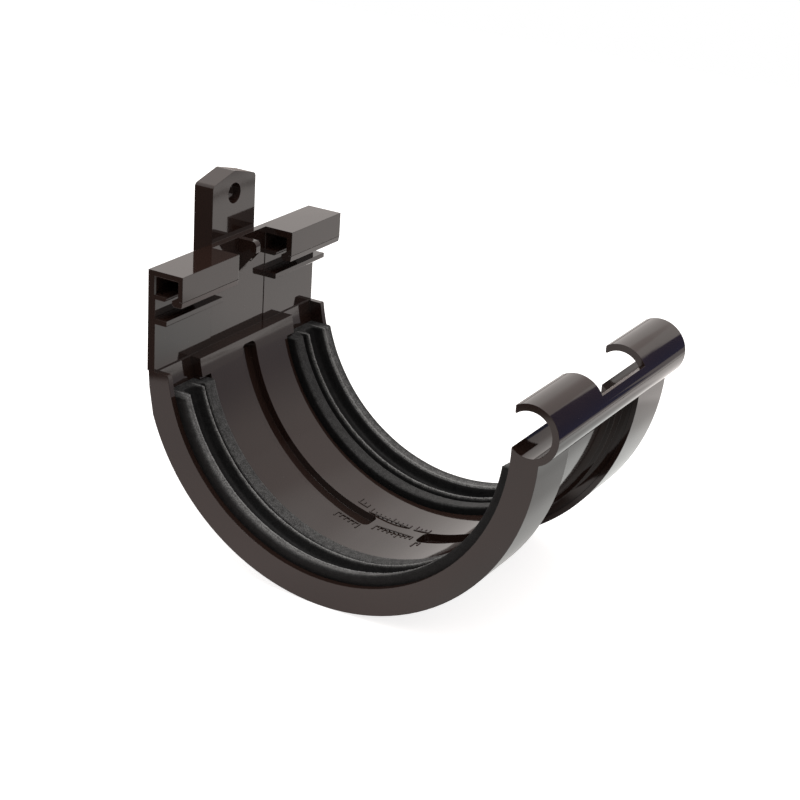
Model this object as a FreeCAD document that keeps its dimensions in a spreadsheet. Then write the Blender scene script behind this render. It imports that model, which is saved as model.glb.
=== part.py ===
"""Half-round gutter union: one moulded body and two rubber end seals.

Frame: X along the gutter run, Y from the wall side (minus) to the open front
(plus), Z up.  The origin is the axis of the half-round trough, halfway along
the union.  Lengths are millimetres.  The body is symmetric about X = 0.

The hard part of this object is the trough: one revolved wall that carries two
seal seats with undercut rebates, a saddle between them and two interrupted
expansion grooves, all ending on a flat-backed wall plate and a clip roll.
"""
import FreeCAD
import Part
import math
import os
import Sketcher

doc = FreeCAD.newDocument("GutterUnion")

# Sizes
SIZES = [
    ("body_length", 88.0, "overall length along the gutter"),
    ("flange_inner", 59.3, "inner radius of the end flanges, the trough's own size"),
    ("ring_wall", 8.7, "radial depth of the two end rings outside the flange bore"),
    ("flange_wall", 2.0, "thickness of an end flange along X"),
    ("seat_depth", 4.7, "depth of a seal seat below the flange bore"),
    ("saddle_step", 1.0, "how far the saddle lies outside the flange bore"),
    ("saddle_wall", 1.8, "wall of the saddle"),
    ("saddle_half", 26.0, "half length of the saddle, inner face of a seat"),
    ("seat_web", 2.0, "web between a seal seat and the recess outside"),
    ("rim_wall", 1.7, "radial width of the rim on each ring"),
    ("rim_depth", 0.6, "how far each rim stands out from its ring"),
    ("rebate_width", 4.4, "width of the rebate for the flat seal band"),
    ("rebate_depth", 1.2, "depth of the rebate"),
    ("rebate_wall", 2.1, "wall behind the rebate"),
    ("cut_over", 1.3, "how far inside the saddle a groove or rebate cut starts"),
    ("trough_top", -7.8, "height of the trough edge on the wall side"),
    ("rebate_drop_back", 6.0, "how far the rebate stops below the trough edge"),
    ("rebate_drop_front", 6.2, "how far the rebate stops below the front lip"),
    ("groove_half", 3.85, "half width of the expansion groove"),
    ("groove_depth", 2.6, "depth of the expansion groove"),
    ("groove_end_deg", 8.5, "groove end, degrees from straight down"),
    ("groove_back_deg", 80.5, "groove top on the wall side, degrees from down"),
    ("groove_front_deg", 50.0, "groove top on the front side, degrees from down"),
    ("groove_wall", 1.6, "wall behind the expansion groove"),
    ("groove_round", 2.2, "rounding of the groove ends"),
    ("back_inset", 1.3, "rear face of the plate inside the rings' outer radius"),
    ("ring_back_step", 0.45, "step from the plate's rear face in to the rings"),
    ("ring_back_lean", 0.4, "how far the rings' upright back leans in"),
    ("ring_back_upright", 5.5, "height of the rings' upright back"),
    ("ring_back_slope", 1.75, "how far the slope below it runs in"),
    ("ring_back_drop", 15.5, "foot of that slope, below the trough edge"),
    ("plate_wall", 2.67, "thickness of the wall plate"),
    ("plate_top", 25.0, "height of the plate and channel top"),
    ("plate_relief", 0.2, "relief of the plate between the channels"),
    ("shelf_wall", 2.0, "shelf joining plate and saddle"),
    ("corner_cut", 0.35, "chamfer on the inner top corner of each flange"),
    ("channel_inner_end", 14.8, "inner end of each box channel along X"),
    ("channel_depth", 12.85, "channel front face from the rear face"),
    ("channel_height", 9.95, "height of the box channel"),
    ("channel_top_wall", 2.1, "top wall of the channel"),
    ("channel_front_wall", 2.0, "front wall of the channel"),
    ("chamfer_rise", 1.9, "height of the chamfered strip on the front wall"),
    ("chamfer_in", 0.35, "how far that strip runs in"),
    ("bulge_in", 1.9, "inward bulge at the channel mouth"),
    ("lip_drop", 7.65, "top of the small lip, below the plate top"),
    ("lip_reach", 4.23, "reach of the small lip from the plate"),
    ("lip_wall", 1.5, "thickness of the small lip"),
    ("strip_drop", 15.3, "top of the hook strip, below the plate top"),
    ("strip_reach", 4.38, "reach of the hook strip from the plate"),
    ("strip_wall", 1.85, "thickness of the hook strip"),
    ("strip_break", 0.35, "broken lower edge of the hook strip"),
    ("edge_break", 0.75, "broken lower edge of the small lip and the channel foot"),
    ("fin_wall", 2.3, "thickness of the stop fin between the channels"),
    ("fin_reach", 7.2, "reach of the stop fin from the plate"),
    ("fin_nose", 3.6, "height of the fin's upright nose"),
    ("fin_drop", 11.9, "foot of the fin on the plate, below the plate top"),
    ("fin_round", 1.7, "rounding of the fin's top corner"),
    ("fin_low_round", 0.9, "rounding of the fin's lower corner"),
    ("bead_out", 5.05, "roll axis, outside the flange bore"),
    ("roll_z", 6.4, "roll axis, height"),
    ("roll_inner", 7.02, "inner radius of the roll"),
    ("roll_wall", 2.14, "wall of the roll"),
    ("roll_tip_back", 5.0, "upper tip of the roll, behind the roll axis"),
    ("roll_lip_low", 5.4, "lower lip of the roll, below the roll axis"),
    ("notch_up_deg", 28.5, "upper end of the roll inside the notch"),
    ("notch_low_deg", 118.0, "lower end of the roll inside the notch"),
    ("tip_round", 0.4, "rounding of the roll tip"),
    ("lug_half", 11.6, "half width of the fixing lug"),
    ("lug_depth", 7.1, "depth of the fixing lug behind the plate"),
    ("lug_rise", 21.4, "height of the lug peak above the plate top"),
    ("gable_drop", 3.0, "lug shoulders below the peak"),
    ("lug_round", 1.6, "rounding of the lug shoulders"),
    ("lug_foot", 18.2, "lowest point of the lug foot below the trough edge"),
    ("lug_heel", 6.2, "where the lug foot starts to slope, below the trough edge"),
    ("lug_skin", 2.4, "wall left by the lug pockets"),
    ("lug_rib", 2.0, "rib between the lug pockets"),
    ("pocket_drop", 9.05, "top of the lug pockets below the screw hole"),
    ("pocket_low", 2.7, "bottom of the lug pockets below the trough edge"),
    ("screw_drop", 7.35, "screw hole below the lug peak"),
    ("screw_diameter", 6.7, "diameter of the screw hole"),
    ("end_bevel", 0.45, "small bevel round the channel mouth ends"),
    ("seal_gap", 0.05, "gap between a seal and its seat"),
    ("seal_drop", 1.0, "how far a seal stops below the end of its rebate"),
    ("seal_lip_rise", 3.1, "outer seal lip inside the flange bore"),
    ("seal_lip_fall", 1.2, "slope across the outer seal lip"),
    ("seal_lip_width", 3.4, "width of the outer seal lip"),
    ("seal_valley", 1.2, "valley between the lips, outside the flange bore"),
    ("seal_ridge_in", 4.5, "middle lip from the end of the saddle"),
    ("seal_ridge_rise", 1.5, "middle lip inside the flange bore"),
    ("seal_band_over", 1.9, "flat band past the end of the saddle"),
    ("seal_band_rise", 0.7, "flat band inside the flange bore"),
    ("seal_band_back", 1.1, "gap between the band and the rebate's far wall"),
]

# What fits together is written once as a sum of the sizes above.
DERIVED = {
    "ring_outer": "flange_inner + ring_wall",
    "seat_floor": "flange_inner + seat_depth",
    "saddle_inner": "flange_inner + saddle_step",
    "ring_half_gap": "saddle_half - seat_web",
    "rebate_half": "saddle_half - rebate_width",
    "rebate_floor": "saddle_inner + rebate_depth",
    "cut_start": "saddle_inner - cut_over",
    "back_plane": "back_inset - ring_outer",
    "roll_outer": "roll_inner + roll_wall",
    "roll_y": "flange_inner + bead_out",
    "roll_tip_y": "roll_y - roll_tip_back",
    "roll_lip_z": "roll_z - roll_lip_low",
    "rebate_top_back": "trough_top - rebate_drop_back",
    "rebate_top_front": "roll_lip_z - rebate_drop_front",
    "seal_top_back": "rebate_top_back - seal_drop",
    "seal_top_front": "rebate_top_front - seal_drop",
    "lip_top": "plate_top - lip_drop",
    "strip_top": "plate_top - strip_drop",
    "lug_peak": "plate_top + lug_rise",
    "lug_shoulder": "lug_peak - gable_drop",
    "screw_height": "lug_peak - screw_drop",
    "pocket_top": "screw_height - pocket_drop",
    "pocket_bottom": "trough_top - pocket_low",
    "foot_z": "trough_top - lug_foot",
    "heel_z": "trough_top - lug_heel",
    "plate_front": "back_plane + plate_wall",
    "fin_tip_y": "plate_front + fin_reach",
    "fin_nose_z": "plate_top - fin_nose",
    "fin_foot_z": "plate_top - fin_drop",
    "ring_back_y": "back_plane + ring_back_step",
    "ring_bend_y": "ring_back_y + ring_back_lean",
    "ring_bend_z": "trough_top - ring_back_upright",
    "seal_land_high": "flange_inner - seal_lip_rise",
    "seal_land_low": "seal_land_high + seal_lip_fall",
    "seal_floor": "flange_inner + seal_valley",
    "seal_ridge_x": "saddle_half + seal_ridge_in",
    "seal_ridge_top": "flange_inner - seal_ridge_rise",
    "seal_band_in": "saddle_half + seal_band_over",
    "seal_band_top": "flange_inner - seal_band_rise",
    "seal_band_out": "rebate_half + seal_band_back",
}

sheet = doc.addObject("Spreadsheet::Sheet", "Sizes")
for row, (alias, value, note) in enumerate(SIZES, start=1):
    sheet.set("A%d" % row, alias)
    sheet.set("B%d" % row, "%.4f" % value)
    sheet.set("C%d" % row, note)
    sheet.setAlias("B%d" % row, alias)
doc.recompute()

NUMBERS = {alias: value for alias, value, note in SIZES}


def full(text):
    """Turn a short size expression into one that reads the sheet."""
    out = ""
    word = ""
    for ch in text + " ":
        if ch.isalnum() or ch == "_":
            word += ch
            continue
        if word in NUMBERS:
            out += "Sizes." + word
        elif word in DERIVED:
            out += "(" + full(DERIVED[word]) + ")"
        else:
            out += word
        word = ""
        out += ch
    return out.strip()


def number(text):
    """Value of a size expression, used only to place the first drawing."""
    total = sheet.evalExpression(full(text))
    return float(getattr(total, "Value", total))


# Helpers
def make_body(name):
    return doc.addObject("PartDesign::Body", name)


def origin_plane(body, role):
    for item in body.Origin.OriginFeatures:
        if item.Role == role:
            return item
    raise RuntimeError("no plane " + role)


def new_sketch(body, name, role):
    sketch = body.newObject("Sketcher::SketchObject", name)
    sketch.AttachmentSupport = [(origin_plane(body, role), "")]
    sketch.MapMode = "FlatFace"
    return sketch


def pin(sketch, kind, geo, pos, expr):
    """Hold one coordinate of one point to a size expression."""
    value = number(expr)
    index = sketch.addConstraint(Sketcher.Constraint(kind, -1, 1, geo, pos, value))
    sketch.setExpression("Constraints[%d]" % index, full(expr))


def add_loop(sketch, points):
    """Closed polygon; every corner is an (across, up) pair of expressions."""
    values = [FreeCAD.Vector(number(a), number(b), 0) for a, b in points]
    first = sketch.GeometryCount
    count = len(points)
    for i in range(count):
        line = Part.LineSegment(values[i], values[(i + 1) % count])
        sketch.addGeometry(line, False)
    for i in range(count):
        after = first + (i + 1) % count
        sketch.addConstraint(Sketcher.Constraint("Coincident", first + i, 2, after, 1))
    for i, (across, up) in enumerate(points):
        pin(sketch, "DistanceX", first + i, 1, across)
        pin(sketch, "DistanceY", first + i, 1, up)


def add_circle(sketch, across, up, radius):
    centre = FreeCAD.Vector(number(across), number(up), 0)
    circle = Part.Circle(centre, FreeCAD.Vector(0, 0, 1), number(radius))
    geo = sketch.addGeometry(circle, False)
    if across == "0" and up == "0":
        sketch.addConstraint(Sketcher.Constraint("Coincident", geo, 3, -1, 1))
    elif across == "0":
        sketch.addConstraint(Sketcher.Constraint("PointOnObject", geo, 3, -2))
        pin(sketch, "DistanceY", geo, 3, up)
    else:
        pin(sketch, "DistanceX", geo, 3, across)
        pin(sketch, "DistanceY", geo, 3, up)
    index = sketch.addConstraint(Sketcher.Constraint("Radius", geo, number(radius)))
    sketch.setExpression("Constraints[%d]" % index, full(radius))


def pad(body, sketch, name, length):
    """Pad both ways from the sketch plane; length is an expression."""
    feature = body.newObject("PartDesign::Pad", name)
    feature.Profile = sketch
    feature.Midplane = True
    feature.setExpression("Length", full(length))
    sketch.Visibility = False
    return feature


def pocket(body, sketch, name, length):
    """Cut both ways from the sketch plane; length is an expression."""
    feature = body.newObject("PartDesign::Pocket", name)
    feature.Profile = sketch
    feature.Midplane = True
    feature.setExpression("Length", full(length))
    sketch.Visibility = False
    return feature


def turn(body, sketch, name, kind, angle):
    """Revolve round the X axis, half the angle to each side of straight down."""
    feature = body.newObject("PartDesign::" + kind, name)
    feature.Profile = sketch
    feature.ReferenceAxis = (sketch, ["H_Axis"])
    feature.Midplane = True
    feature.setExpression("Angle", full(angle))
    sketch.Visibility = False
    return feature


def refresh():
    doc.recompute()


def slice_box(body, name, low_across, high_across, low_up, high_up, length):
    """Cut a rectangle of the YZ plane through the body."""
    sketch = new_sketch(body, name + "Sketch", "YZ_Plane")
    add_loop(sketch, [
        (low_across, low_up),
        (high_across, low_up),
        (high_across, high_up),
        (low_across, high_up),
    ])
    return pocket(body, sketch, name, length)


def edges_where(shape, test):
    """Names of the edges whose end points and middle all pass a test."""
    found = []
    for i, edge in enumerate(shape.Edges, start=1):
        points = [v.Point for v in edge.Vertexes]
        middle = (edge.FirstParameter + edge.LastParameter) / 2
        points.append(edge.valueAt(middle))
        if all(test(p) for p in points):
            found.append("Edge%d" % i)
    return found


def dress(body, kind, name, base, names, size):
    """Fillet or chamfer the named edges; size is an expression."""
    if not names:
        raise RuntimeError("no edges for " + name)
    feature = body.newObject("PartDesign::" + kind, name)
    feature.Base = (base, names)
    prop = "Radius" if kind == "Fillet" else "Size"
    feature.setExpression(prop, full(size))
    return feature


def near(value, target):
    return abs(value - target) < 0.02


# Union body
union = make_body("union_body")

# Cuts run past what they cut, along the union and across it.
ALONG = "(body_length + 4)"
ACROSS = "(4*ring_outer)"
BEHIND = "(0 - ring_outer - 12)"

# The revolved wall: flanges, seal seats, saddle and rims in one outline.  It is
# turned a little past level at both edges, and trimmed to height afterwards.
RING_SWEEP = "184"
END = "body_length/2"
SEAT_END = "(body_length/2 - flange_wall)"
RIM_IN = "(ring_outer - rim_wall)"
RING_FACE = "(ring_half_gap + rim_depth)"
SADDLE_OUT = "(saddle_inner + saddle_wall)"
REBATE_OUT = "(rebate_floor + rebate_wall)"
REBATE_STEP = "(rebate_half - rebate_wall)"
half_outline = [
    (REBATE_STEP, SADDLE_OUT),
    (REBATE_STEP, REBATE_OUT),
    (RING_FACE, REBATE_OUT),
    (RING_FACE, RIM_IN),
    ("ring_half_gap", RIM_IN),
    ("ring_half_gap", "ring_outer"),
    (END, "ring_outer"),
    (END, "flange_inner"),
    (SEAT_END, "flange_inner"),
    (SEAT_END, "seat_floor"),
    ("saddle_half", "seat_floor"),
    ("saddle_half", "saddle_inner"),
]
outline = [(a, "0 - " + r) for a, r in half_outline]
for a, r in reversed(half_outline):
    outline.append(("0 - " + a, "0 - " + r))
ring_sketch = new_sketch(union, "RingSketch", "XZ_Plane")
add_loop(ring_sketch, outline)
ring = turn(union, ring_sketch, "Ring", "Revolution", RING_SWEEP)

# Thicker wall behind the expansion grooves, a little longer than they are.
GROOVE_FLOOR = "(saddle_inner + groove_depth)"
GROOVE_PAST = "1.5"
SINK = "0.5"
pad_half = "(groove_half + groove_wall)"
back_sketch = new_sketch(union, "GrooveWallSketch", "XZ_Plane")
add_loop(back_sketch, [
    ("0 - " + pad_half, "0 - (saddle_inner + " + SINK + ")"),
    (pad_half, "0 - (saddle_inner + " + SINK + ")"),
    (pad_half, "0 - (" + GROOVE_FLOOR + " + groove_wall)"),
    ("0 - " + pad_half, "0 - (" + GROOVE_FLOOR + " + groove_wall)"),
])
groove_back = turn(union, back_sketch, "GrooveWall", "Revolution", "groove_front_deg + " + GROOVE_PAST)
groove_back.Midplane = False
groove_back.Type = "TwoAngles"
groove_back.setExpression("Angle2", full("groove_back_deg + " + GROOVE_PAST))

# Level trough edge on the wall side, and the rings' back, upright and then sloping.
slice_box(union, "TroughTop", BEHIND, "0 - flange_inner/2", "trough_top", "plate_top", ALONG)
lean_sketch = new_sketch(union, "RingBackSketch", "YZ_Plane")
add_loop(lean_sketch, [
    (BEHIND, "0"),
    ("ring_back_y", "0"),
    ("ring_back_y", "trough_top"),
    ("ring_bend_y", "ring_bend_z"),
    ("ring_bend_y + ring_back_slope", "trough_top - ring_back_drop"),
    (BEHIND, "trough_top - ring_back_drop"),
])
pocket(union, lean_sketch, "RingBack", ALONG)

# Clip roll along the front.
roll_sketch = new_sketch(union, "RollSketch", "YZ_Plane")
add_circle(roll_sketch, "roll_y", "roll_z", "roll_outer")
pad(union, roll_sketch, "Roll", "body_length")
bore_sketch = new_sketch(union, "RollBoreSketch", "YZ_Plane")
add_circle(bore_sketch, "roll_y", "roll_z", "roll_inner")
pocket(union, bore_sketch, "RollBore", ALONG)
trough_sketch = new_sketch(union, "TroughSketch", "YZ_Plane")
add_circle(trough_sketch, "0", "0", "flange_inner")
pocket(union, trough_sketch, "TroughClear", ALONG)
roll_open = slice_box(union, "RollMouth", "roll_y - 2*roll_outer", "roll_tip_y", "roll_lip_z",
                      "roll_z + 2*roll_outer", ALONG)
refresh()
tip = edges_where(roll_open.Shape, lambda p: near(p.y, number("roll_tip_y"))
                  and p.z > number("roll_z + roll_inner/2"))
tip_round = dress(union, "Fillet", "RollTip", roll_open, tip, "tip_round")

# Notch between the two fingers of the roll.
notch_sketch = new_sketch(union, "NotchSketch", "YZ_Plane")
add_loop(notch_sketch, [
    ("roll_y", "roll_z"),
    ("roll_y + 2*roll_outer*cos(notch_up_deg)", "roll_z + 2*roll_outer*sin(notch_up_deg)"),
    ("roll_y + 2*roll_outer*cos(notch_up_deg)", "roll_z + 3*roll_outer"),
    ("roll_y - 3*roll_outer", "roll_z + 3*roll_outer"),
    ("roll_y - 3*roll_outer", "roll_z - 2*roll_outer*sin(notch_low_deg)"),
    ("roll_y + 2*roll_outer*cos(notch_low_deg)", "roll_z - 2*roll_outer*sin(notch_low_deg)"),
])
pocket(union, notch_sketch, "Notch", "2*channel_inner_end")

# Wall plate and the shelf that carries the saddle edge.
plate_sketch = new_sketch(union, "PlateSketch", "YZ_Plane")
add_loop(plate_sketch, [
    ("back_plane", "trough_top"),
    ("plate_front", "trough_top"),
    ("plate_front", "plate_top"),
    ("back_plane", "plate_top"),
])
pad(union, plate_sketch, "Plate", "body_length")
SHELF_EDGE = "0 - sqrt(saddle_inner*saddle_inner - trough_top*trough_top)"
shelf_sketch = new_sketch(union, "ShelfSketch", "YZ_Plane")
add_loop(shelf_sketch, [
    ("back_plane", "trough_top - shelf_wall"),
    (SHELF_EDGE, "trough_top - shelf_wall"),
    (SHELF_EDGE, "trough_top"),
    ("back_plane", "trough_top"),
])
pad(union, shelf_sketch, "Shelf", "2*saddle_half")

# Box channels, the small lip inside their mouth and the hook strip below.
FACE = "(back_plane + channel_depth)"
INSIDE = "(back_plane + channel_depth - channel_front_wall)"
FOOT = "(plate_top - channel_height)"
ROOT = "(back_plane + 1)"
channel_sketch = new_sketch(union, "ChannelSketch", "YZ_Plane")
add_loop(channel_sketch, [
    (ROOT, "plate_top"),
    (FACE, "plate_top"),
    (FACE, FOOT + " + chamfer_rise"),
    (FACE + " - chamfer_in", FOOT),
    (INSIDE + " - bulge_in + edge_break", FOOT),
    (INSIDE + " - bulge_in", FOOT + " + edge_break"),
    (INSIDE + " - bulge_in", FOOT + " + 2.4*edge_break"),
    (INSIDE, FOOT + " + 4*edge_break"),
    (INSIDE, "plate_top - channel_top_wall"),
    (ROOT, "plate_top - channel_top_wall"),
])
add_loop(channel_sketch, [
    (ROOT, "lip_top"),
    ("plate_front + lip_reach", "lip_top"),
    ("plate_front + lip_reach", "lip_top - lip_wall + edge_break"),
    ("plate_front + lip_reach - edge_break", "lip_top - lip_wall"),
    (ROOT, "lip_top - lip_wall"),
])
add_loop(channel_sketch, [
    (ROOT, "strip_top"),
    ("plate_front + strip_reach", "strip_top"),
    ("plate_front + strip_reach", "strip_top - strip_wall + strip_break"),
    ("plate_front + strip_reach - strip_break", "strip_top - strip_wall"),
    (ROOT, "strip_top - strip_wall"),
])
pad(union, channel_sketch, "Channels", "body_length")
slice_box(union, "ChannelGap", "plate_front - plate_relief", "back_plane + 2*channel_depth",
          "trough_top", "plate_top + 6", "2*channel_inner_end")

# Stop fin between the channels, where the two gutter ends meet.
fin_sketch = new_sketch(union, "FinSketch", "YZ_Plane")
add_loop(fin_sketch, [
    (ROOT, "plate_top"),
    ("fin_tip_y", "plate_top"),
    ("fin_tip_y", "fin_nose_z"),
    ("plate_front", "fin_foot_z"),
    (ROOT, "fin_foot_z"),
])
fin = pad(union, fin_sketch, "StopFin", "fin_wall")
refresh()
fin_top = edges_where(fin.Shape, lambda p: near(p.y, number("fin_tip_y"))
                      and near(p.z, number("plate_top")))
fin = dress(union, "Fillet", "FinRound", fin, fin_top, "fin_round")
refresh()
fin_low = edges_where(fin.Shape, lambda p: near(p.y, number("fin_tip_y"))
                      and near(p.z, number("fin_nose_z")))
fin = dress(union, "Fillet", "FinLowRound", fin, fin_low, "fin_low_round")

# Chamfer on the inner top corner of each flange.
refresh()
corner_y = -math.sqrt(number("flange_inner")**2 - number("trough_top")**2)
flange_top = edges_where(fin.Shape, lambda p: near(p.y, corner_y)
                         and near(p.z, number("trough_top"))
                         and abs(p.x) > number("saddle_half"))
dress(union, "Chamfer", "FlangeCorner", fin, flange_top, "corner_cut")

# Fixing lug behind the plate, with its sloping foot.
LUG_BACK = "(back_plane - lug_depth)"
FOOT_Y = "0 - sqrt((saddle_inner + 1)*(saddle_inner + 1) - foot_z*foot_z)"
HIP_Z = "(trough_top - 1.2)"
HIP_Y = "0 - sqrt((saddle_inner + 1)*(saddle_inner + 1) - " + HIP_Z + "*" + HIP_Z + ")"
lug_sketch = new_sketch(union, "LugSketch", "YZ_Plane")
add_loop(lug_sketch, [
    ("back_plane", "lug_peak + 2"),
    (LUG_BACK, "lug_peak + 2"),
    (LUG_BACK, "heel_z"),
    (FOOT_Y + " - 2", "foot_z"),
    (FOOT_Y, "foot_z"),
    (HIP_Y, HIP_Z),
    ("back_plane + 1", HIP_Z),
    ("back_plane + 1", "plate_top - 1"),
    ("back_plane", "plate_top - 1"),
])
pad(union, lug_sketch, "Lug", "2*lug_half")
gable_sketch = new_sketch(union, "GableSketch", "XZ_Plane")
add_loop(gable_sketch, [
    ("0 - lug_half - 6", "lug_peak + 8"),
    ("0 - lug_half - 6", "lug_shoulder"),
    ("0 - lug_half", "lug_shoulder"),
    ("0", "lug_peak"),
    ("lug_half", "lug_shoulder"),
    ("lug_half + 6", "lug_shoulder"),
    ("lug_half + 6", "lug_peak + 8"),
])
gable = pocket(union, gable_sketch, "Gable", ACROSS)
refresh()
corners = edges_where(gable.Shape, lambda p: near(p.z, number("lug_shoulder"))
                      and near(abs(p.x), number("lug_half")))
peak = edges_where(gable.Shape, lambda p: near(p.z, number("lug_peak"))
                   and near(p.x, 0))
dress(union, "Fillet", "LugRound", gable, corners + peak, "lug_round")
hole_sketch = new_sketch(union, "ScrewSketch", "XZ_Plane")
add_circle(hole_sketch, "0", "screw_height", "screw_diameter/2")
pocket(union, hole_sketch, "ScrewHole", ACROSS)
core_sketch = new_sketch(union, "LugCoreSketch", "XZ_Plane")
core_sketch.setExpression("AttachmentOffset.Base.z", full("lug_depth - back_plane"))
for side in ("", "0 - "):
    add_loop(core_sketch, [
        (side + "lug_rib/2", "pocket_bottom"),
        (side + "(lug_half - lug_skin)", "pocket_bottom"),
        (side + "(lug_half - lug_skin)", "pocket_top"),
        (side + "lug_rib/2", "pocket_top"),
    ])
pocket(union, core_sketch, "LugCore", "2*(lug_depth - lug_skin)")

# Rebates beside the seats; each takes the flat band of a seal.
rebate_sketch = new_sketch(union, "RebateSketch", "XZ_Plane")
for side in ("", "0 - "):
    add_loop(rebate_sketch, [
        (side + "rebate_half", "0 - cut_start"),
        (side + "(saddle_half + " + SINK + ")", "0 - cut_start"),
        (side + "(saddle_half + " + SINK + ")", "0 - rebate_floor"),
        (side + "rebate_half", "0 - rebate_floor"),
    ])
rebate = turn(union, rebate_sketch, "Rebate", "Groove",
              "90 deg + asin(rebate_top_front/saddle_inner)")
rebate.Midplane = False
rebate.Type = "TwoAngles"
rebate.setExpression("Angle2", full("90 deg + asin(rebate_top_back/saddle_inner)"))

# Expansion grooves, left standing as a bridge at the bottom.
groove_sketch = new_sketch(union, "GrooveSketch", "XZ_Plane")
add_loop(groove_sketch, [
    ("0 - groove_half", "0 - cut_start"),
    ("groove_half", "0 - cut_start"),
    ("groove_half", "0 - " + GROOVE_FLOOR),
    ("0 - groove_half", "0 - " + GROOVE_FLOOR),
])
groove = turn(union, groove_sketch, "Groove", "Groove", "groove_front_deg")
groove.Midplane = False
groove.Type = "TwoAngles"
groove.setExpression("Angle2", full("groove_back_deg"))
bridge_sketch = new_sketch(union, "BridgeSketch", "XZ_Plane")
add_loop(bridge_sketch, [
    ("0 - groove_half - 0.2", "0 - saddle_inner"),
    ("groove_half + 0.2", "0 - saddle_inner"),
    ("groove_half + 0.2", "0 - " + GROOVE_FLOOR + " - 0.2"),
    ("0 - groove_half - 0.2", "0 - " + GROOVE_FLOOR + " - 0.2"),
])
bridge = turn(union, bridge_sketch, "Bridge", "Revolution", "2*groove_end_deg")
refresh()

# Rounded groove ends.
groove_ends = [number("groove_end_deg"), number("0 - groove_end_deg"),
               number("groove_back_deg"), number("0 - groove_front_deg")]


def groove_corner(p):
    """True on the short radial edges at the corners of the grooves."""
    if not near(abs(p.x), number("groove_half")):
        return False
    angle = math.degrees(math.atan2(-p.y, -p.z))
    return any(abs(angle - end) < 0.05 for end in groove_ends)


last = dress(union, "Fillet", "GrooveRound", bridge,
             edges_where(bridge.Shape, groove_corner), "groove_round")
refresh()

# Small bevels where the gutter edge enters the channels.
half = number("body_length/2")
plate_front = number("plate_front")
inside = number("back_plane + channel_depth - channel_front_wall")
under_top = number("plate_top - channel_top_wall")
lip_top = number("lip_top")
bulge_top = number("plate_top - channel_height + 4*edge_break")


def mouth_edge(p):
    """True on the three inner edges of a channel mouth."""
    if not near(abs(p.x), half):
        return False
    on_plate = near(p.y, plate_front) and p.z > lip_top - 0.02
    on_top = near(p.z, under_top) and p.y > plate_front - 0.02 and p.y < inside + 0.02
    on_front = near(p.y, inside) and p.z > bulge_top - 0.02
    return (on_plate and p.z < under_top + 0.02) or on_top or (on_front and p.z < under_top + 0.02)


mouth = edges_where(last.Shape, mouth_edge)
last = dress(union, "Chamfer", "MouthBevel", last, mouth, "end_bevel")
refresh()

# Seals
A = "(body_length/2 - flange_wall - seal_gap)"
LAND = "(body_length/2 - flange_wall - seal_gap - seal_lip_width)"
REST = "(saddle_half + seal_gap)"
seal_half = [
    (A, "(seat_floor - seal_gap)"),
    (A, "(seal_land_high + 0.6)"),
    ("(" + A + " - 0.5)", "seal_land_high"),
    ("(" + A + " - 1.4)", "(seal_land_high + 0.15)"),
    (LAND, "seal_land_low"),
    ("(" + LAND + " - 0.35)", "(seal_land_low + 0.35)"),
    ("(" + LAND + " - 0.7)", "(seal_land_low + 1.5)"),
    ("(" + LAND + " - 1.5)", "seal_floor"),
    ("(seal_ridge_x + 1.7)", "seal_floor"),
    ("(seal_ridge_x + 0.95)", "(seal_ridge_top + 1.3)"),
    ("(seal_ridge_x + 0.5)", "(seal_ridge_top + 0.25)"),
    ("seal_ridge_x", "seal_ridge_top"),
    ("(seal_ridge_x - 0.5)", "(seal_ridge_top + 0.2)"),
    ("(seal_ridge_x - 1.0)", "(seal_ridge_top + 1.2)"),
    ("(seal_ridge_x - 1.4)", "(seal_band_top + 1.0)"),
    ("(seal_band_in + 0.5)", "(seal_band_top + 1.0)"),
    ("seal_band_in", "seal_band_top"),
    ("(seal_band_out + 0.6)", "seal_band_top"),
    ("seal_band_out", "(seal_band_top + 0.6)"),
    ("seal_band_out", "(rebate_floor - seal_gap)"),
    (REST, "(rebate_floor - seal_gap)"),
    (REST, "(seat_floor - seal_gap)"),
]


def make_seal(name, side):
    body = make_body(name)
    sketch = new_sketch(body, name + "_section", "XZ_Plane")
    add_loop(sketch, [(side + a, "0 - " + r) for a, r in seal_half])
    turn(body, sketch, name + "_sweep", "Revolution", "180")
    slice_box(body, name + "_back_end", "0 - 2*ring_outer", "0 - flange_inner/2", "seal_top_back",
              "ring_outer", "2*body_length")
    slice_box(body, name + "_front_end", "flange_inner/2", "2*ring_outer", "seal_top_front",
              "ring_outer", "2*body_length")
    refresh()
    return body


seal_plus = make_seal("seal_plus_x", "")
seal_minus = make_seal("seal_minus_x", "0 - ")

# Output
doc.recompute()
for item in doc.Objects:
    for state in item.State:
        if state in ("Invalid", "Error"):
            raise RuntimeError("%s is %s" % (item.Name, state))

os.makedirs("parts", exist_ok=True)
for body in (union, seal_plus, seal_minus):
    shape = body.Shape
    if shape.isNull() or not shape.isValid():
        raise RuntimeError(body.Name + " has no valid shape")
    if len(shape.Solids) != 1:
        raise RuntimeError("%s has %d solids" % (body.Name, len(shape.Solids)))
    shape.exportStep("parts/%s.step" % body.Name)
    box = shape.BoundBox
    print(body.Name, "volume %.0f mm3" % shape.Volume,
          "box %.2f %.2f %.2f to %.2f %.2f %.2f"
          % (box.XMin, box.YMin, box.ZMin, box.XMax, box.YMax, box.ZMax))
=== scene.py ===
# %% [markdown]
# # Dressing a half-round gutter union
#
# The union joins two lengths of half-round gutter.  It is one dark brown,
# glossy moulding with two black rubber seals.  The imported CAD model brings
# the real shapes.  This lesson adds what CAD leaves out: the look of the
# plastic, the soft and slightly uneven rubber, the small moulded marks, and
# the studio that the photograph was taken in.
#
# Each cell does one job and prints what it made.

# %% Load the fixed frame
import math

import bpy
import numpy as np
from mathutils import Matrix, Vector


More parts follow.
